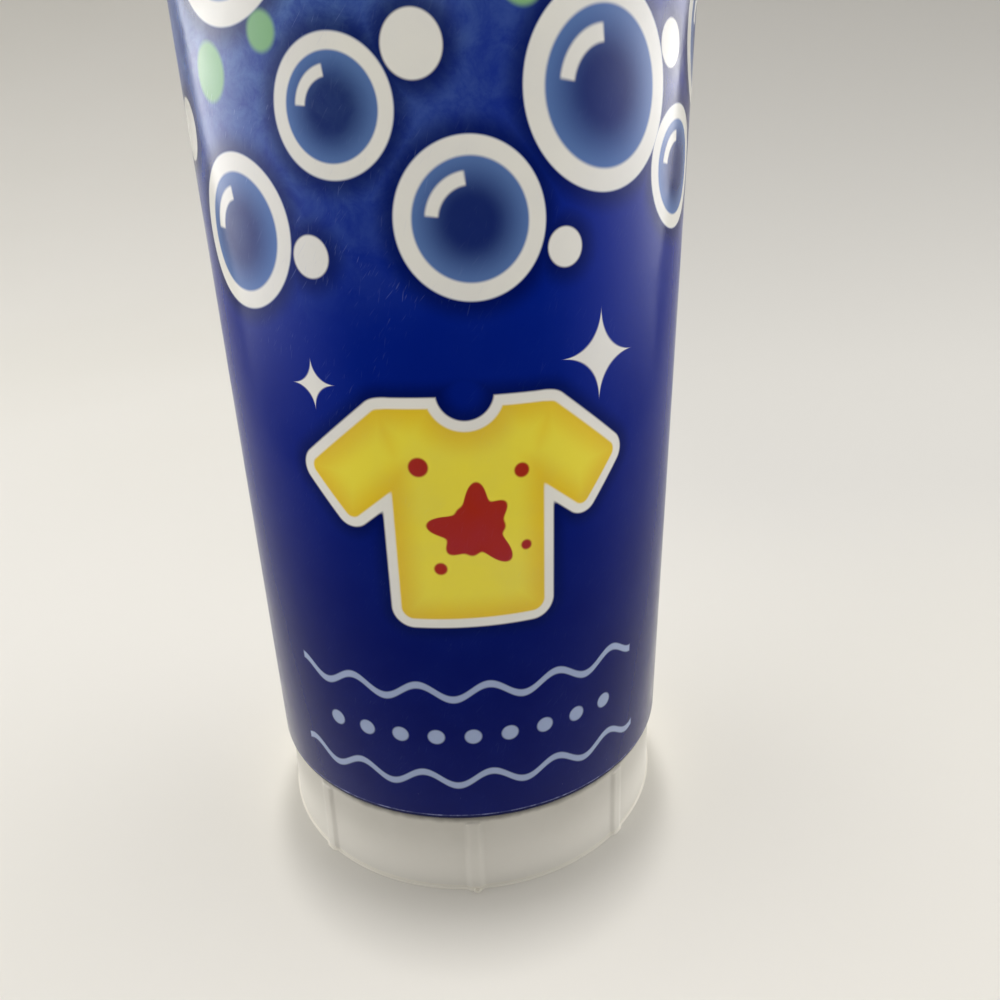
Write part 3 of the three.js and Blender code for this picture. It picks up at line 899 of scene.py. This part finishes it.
def add_flash(shape):
    """A small curl of moulding flash at the foot of the front rib."""
    ring = bmesh.ops.create_circle(
        shape, cap_ends=True, segments=FLASH_SIDES, radius=FLASH_THICK * MM,
        matrix=Matrix.Translation((FLASH_REACH * MM, 0, 0)) @ Matrix.Rotation(QUARTER_TURN, 4, "X"),
    )["verts"]
    last = spin(shape, list(ring[0].link_faces), FLASH_SWEEP, FLASH_STEPS)
    end = [item for item in last if isinstance(item, bmesh.types.BMVert)]
    centre = sum((point.co for point in end), Vector()) / len(end)
    bmesh.ops.scale(shape, vec=(FLASH_TIP,) * 3, verts=end, space=Matrix.Translation(-centre))
    curl = connected(ring)
    turn = FRONT_GRIP + FLASH_TURN
    bmesh.ops.rotate(shape, verts=curl, cent=(0, 0, 0), matrix=Matrix.Rotation(turn, 3, "Z"))
    at = DIAL_FOOT_RADIUS + GRIP_RISE + FLASH_RING
    place = Vector((math.sin(turn) * at, -math.cos(turn) * at, FLASH_RING)) * MM
    bmesh.ops.translate(shape, verts=curl, vec=place)
    bmesh.ops.recalc_face_normals(shape, faces=shape.faces)


def connected(points):
    """All points that edges join to these."""
    found = set(points)
    waiting = list(points)
    while waiting:
        point = waiting.pop()
        for edge in point.link_edges:
            other = edge.other_vert(point)
            if other not in found:
                found.add(other)
                waiting.append(other)
    return list(found)


def make_barrel():
    """Moulded tube with a floor, guide ribs inside, a rounded foot and a stepped neck with its ring."""
    shape = turned(
        [
            (SPIGOT_RADIUS + GAP, BARREL_FOOT, 0.2),
            (BARREL_RADIUS, BARREL_FOOT, FILM_ROLL - FILM / 2),
            (BARREL_RADIUS, SHOULDER, 0.4),
            (NECK_RADIUS, SHOULDER, 0.3),
            (NECK_RADIUS, BEAD_MIDDLE - BEAD_HALF, 0.3),
            (NECK_RADIUS + BEAD_RISE, BEAD_MIDDLE, 0.4),
            (NECK_RADIUS, BEAD_MIDDLE + BEAD_HALF, 0.3),
            (NECK_RADIUS, MOUTH, 0.35),
            (BORE_RADIUS, MOUTH, 0.35),
            (BORE_RADIUS, GUIDE_TOP, 0),
            (BORE_RADIUS, FLOOR_TOP + GUIDE_FOOT, 0),
            (BORE_RADIUS, FLOOR_TOP, 0.4),
            (SOCKET_RADIUS + GAP, FLOOR_TOP, 0.1),
            (SOCKET_RADIUS + GAP, FLOOR_UNDER, 0.1),
            (SPIGOT_RADIUS + GAP, FLOOR_UNDER, 0.3),
        ]
    )
    heights = (FLOOR_TOP + GUIDE_FOOT, GUIDE_TOP)
    raise_guides(shape, BORE_RADIUS, heights, GUIDE_STEPS, GUIDE_SLOPE, GUIDE_HEIGHT)
    piece("barrel_body", shape, "barrel", "barrel", moulded_white)


def make_label():
    """Film wound on from the seam, down over the barrel's rounded foot, its end lapped over its start."""
    radius = LABEL_RADIUS - FILM / 2
    shape = profile(
        [
            (radius - FILM_ROLL * 0.8, BARREL_FOOT - FILM / 2, 0),
            (radius, BARREL_FOOT - FILM / 2, FILM_ROLL),
            (radius, label_high.z, 0),
        ],
        closed=False,
    )
    turn_about(shape, SEAM_TURN)
    rest = WHOLE_TURN - RAMP_TURN
    edge = spin(shape, shape.verts[:] + shape.edges[:], rest, TURN_STEPS)
    outward = Vector((math.sin(SEAM_TURN), -math.cos(SEAM_TURN), 0)) * LAP_RISE * MM
    edge = spin(shape, edge, RAMP_TURN, RAMP_STEPS, shift=outward / RAMP_STEPS)
    spin(shape, edge, LAP_TURN, LAP_STEPS)
    bmesh.ops.recalc_face_normals(shape, faces=shape.faces)
    made = piece("label_wrap", shape, "label", "barrel", printed_film)
    film = made.modifiers.new("film", "SOLIDIFY")
    film.thickness = FILM * MM
    film.offset = 0.0


def crown_points(radius, top, height):
    """Quarter of an ellipse from the side of the stick to its top."""
    points = []
    for step in range(1, CROWN_STEPS + 1):
        turn = QUARTER_TURN * step / CROWN_STEPS
        points.append((radius * math.cos(turn), top - height + height * math.sin(turn), 0))
    points[-1] = (0, top, 0)
    return points


def make_stick():
    """Cast stain remover: domed, grooved by the guide ribs, hollow where the screw and the nut stand."""
    shape = turned(
        [
            (0, SCREW_TIP + GAP, 0),
            (SCREW_ROOM, SCREW_TIP + GAP, 0.4),
            (SCREW_ROOM, NUT_TOP, 0.3),
            (NUT_ROOM, NUT_TOP, 0.3),
            (NUT_ROOM, stick_low.z, 0.3),
            (RIM_ROOM, stick_low.z, 0.3),
            (RIM_ROOM, RIM_TOP, 0.2),
            (STICK_RADIUS, RIM_TOP, 0.3),
            (STICK_RADIUS, RIM_TOP + GUIDE_FOOT, 0),
            (STICK_RADIUS, GUIDE_TOP + GAP, 0),
            (STICK_RADIUS, stick_high.z - CROWN_HEIGHT, 0),
        ]
        + crown_points(STICK_RADIUS, stick_high.z, CROWN_HEIGHT),
        closed=False,
    )
    heights = (RIM_TOP + GUIDE_FOOT, GUIDE_TOP + GAP)
    raise_guides(shape, STICK_RADIUS, heights, GROOVE_STEPS, GROOVE_SLOPE, -GROOVE_DEPTH)
    piece("stick_cast", shape, "stick", "carrier", cast_wax)


def make_cap():
    """Thin pull-off cup with a rounded crown."""
    inside = cap_high.x - CAP_WALL
    shape = turned(
        [
            (0, cap_high.z, 0),
            (cap_high.x, cap_high.z, CAP_CROWN),
            (cap_high.x, cap_low.z, 0.3),
            (inside, cap_low.z, 0.4),
            (inside, cap_high.z - CAP_ROOF, CAP_CROWN - CAP_WALL),
            (0, cap_high.z - CAP_ROOF, 0),
        ],
        closed=False,
    )
    piece("cap_cup", shape, "cap", "cap", moulded_white)


def dress_inner_parts():
    """The pieces sealed inside keep their solids, and get the milky plastic."""
    for node in ("spindle", "elevator"):
        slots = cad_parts[node].data.materials
        slots.clear()
        slots.append(milky_plastic)


# Studio
FLOOR_FRONT = -0.9
FLOOR_BACK = 0.8
WALL_TOP = 0.42
SWEEP_RADIUS = 0.62
SWEEP_STEPS = 24
FLOOR_HALF_WIDTH = 1.6
SKY_COLOUR = (1.0, 0.99, 0.962, 1.0)
SIDE_LIGHT = 2.5
FRONT_LIGHT = 0.3
BACK_LIGHT = 1.3
SIDE_FADE = (0.38, 0.95)  # share of the way to a side, from where its light starts to where it is full
END_FADE = (0.1, 0.8)  # the same for the light from the front and the back
SIDE_LEAN = math.radians(16)  # how far the light from the sides leans to the back
HORIZON_SHARE = 0.25  # of that light, how much is left level with the floor
HORIZON_FADE = (0.0, 0.4)
LAMP_PLACE = Vector((0.0, 0.24, 6.0))  # high, so that the barrel shades little of the floor beside it
LAMP_SIZE = (0.12, 0.36)
LAMP_POWER = 131
LAMP_COLOUR = (1.0, 0.985, 0.95)


def make_floor():
    """A sheet of paper that sweeps up behind the object."""
    shape = bmesh.new()
    points = [
        shape.verts.new((-FLOOR_HALF_WIDTH, along, height))
        for along, height in ((FLOOR_FRONT, 0), (FLOOR_BACK, 0), (FLOOR_BACK, WALL_TOP))
    ]
    shape.edges.new(points[:2])
    shape.edges.new(points[1:])
    bmesh.ops.bevel(
        shape, geom=[points[1]], offset=SWEEP_RADIUS, offset_type="OFFSET", segments=SWEEP_STEPS, profile=0.5,
        affect="VERTICES", material=-1,
    )
    drawn = bmesh.ops.extrude_edge_only(shape, edges=shape.edges[:])["geom"]
    moved = [item for item in drawn if isinstance(item, bmesh.types.BMVert)]
    bmesh.ops.translate(shape, verts=moved, vec=(2 * FLOOR_HALF_WIDTH, 0, 0))
    bmesh.ops.recalc_face_normals(shape, faces=shape.faces)
    for face in shape.faces:
        face.smooth = True
    mesh = bpy.data.meshes.new("paper_sweep")
    shape.to_mesh(mesh)
    shape.free()
    mesh.materials.append(make_studio_paper())
    floor = bpy.data.objects.new("paper_sweep", mesh)
    bpy.context.collection.objects.link(floor)


def make_lamp():
    lamp = bpy.data.lights.new("ceiling_lamp", "AREA")
    lamp.shape = "RECTANGLE"
    lamp.size, lamp.size_y = LAMP_SIZE
    lamp.energy = LAMP_POWER
    lamp.color = LAMP_COLOUR
    made = bpy.data.objects.new("ceiling_lamp", lamp)
    made.location = LAMP_PLACE
    made.rotation_euler = (-LAMP_PLACE).to_track_quat("-Z", "Y").to_euler()
    bpy.context.collection.objects.link(made)


def make_light():
    """A soft room with light from both sides and the back, and less from behind the camera."""
    world = bpy.data.worlds.new("room")
    world.use_nodes = True
    tree = world.node_tree
    sky = tree.nodes["Background"]
    way = split(tree, tree.nodes.new("ShaderNodeTexCoord").outputs["Generated"])
    lean = calc(tree, "MULTIPLY", way["Y"], math.sin(SIDE_LEAN))
    total = ramp(tree, way["Y"], *END_FADE, 0.0, BACK_LIGHT)
    front_way = calc(tree, "MULTIPLY", way["Y"], -1.0)
    total = calc(tree, "ADD", total, ramp(tree, front_way, *END_FADE, 0.0, FRONT_LIGHT))
    for side in (-1, 1):
        side_way = calc(tree, "MULTIPLY_ADD", way["X"], side * math.cos(SIDE_LEAN), lean)
        total = calc(tree, "ADD", total, ramp(tree, side_way, *SIDE_FADE, 0.0, SIDE_LIGHT))
    total = calc(tree, "MULTIPLY", total, ramp(tree, way["Z"], *HORIZON_FADE, HORIZON_SHARE, 1.0))
    sky.inputs["Color"].default_value = SKY_COLOUR
    feed(tree, sky.inputs["Strength"], total)
    bpy.context.scene.world = world
    make_lamp()


def make_camera():
    lens = bpy.data.cameras.new("camera")
    lens.sensor_fit = "HORIZONTAL"
    lens.sensor_width = SENSOR
    lens.lens = LENS
    lens.clip_start, lens.clip_end = CAMERA_REACH
    level = math.cos(CAMERA_PITCH)
    forward = Vector((math.sin(CAMERA_YAW) * level, math.cos(CAMERA_YAW) * level, -math.sin(CAMERA_PITCH)))
    right = Vector((math.cos(CAMERA_YAW), -math.sin(CAMERA_YAW), 0))
    down = forward.cross(right)
    rolled_right = math.cos(CAMERA_ROLL) * right + math.sin(CAMERA_ROLL) * down
    rolled_down = math.cos(CAMERA_ROLL) * down - math.sin(CAMERA_ROLL) * right
    made = bpy.data.objects.new("camera", lens)
    made.matrix_world = Matrix.Translation(CAMERA_PLACE) @ Matrix(
        (rolled_right, -rolled_down, -forward)
    ).transposed().to_4x4()
    bpy.context.collection.objects.link(made)
    bpy.context.scene.camera = made


moulding_grain = make_moulding_grain()
handling_marks = make_handling_marks()
ring_distance = make_ring_distance()
panel_distance = make_panel_distance()
bubble = make_bubble()
label_print = make_label_print()
printed_film = make_printed_film()
moulded_white = make_moulded_white("moulded_white", 0.3)
shade_painted_white = make_moulded_white("shade_painted_white", 0.0, paint_dial_light_and_shade)  # light would be lost through the dial's foot
milky_plastic = make_milky_plastic()
cast_wax = make_cast_wax()

make_camera()
make_dial()
make_barrel()
make_label()
make_stick()
make_cap()
dress_inner_parts()
make_floor()
make_light()
bpy.context.scene.view_settings.view_transform = "Standard"
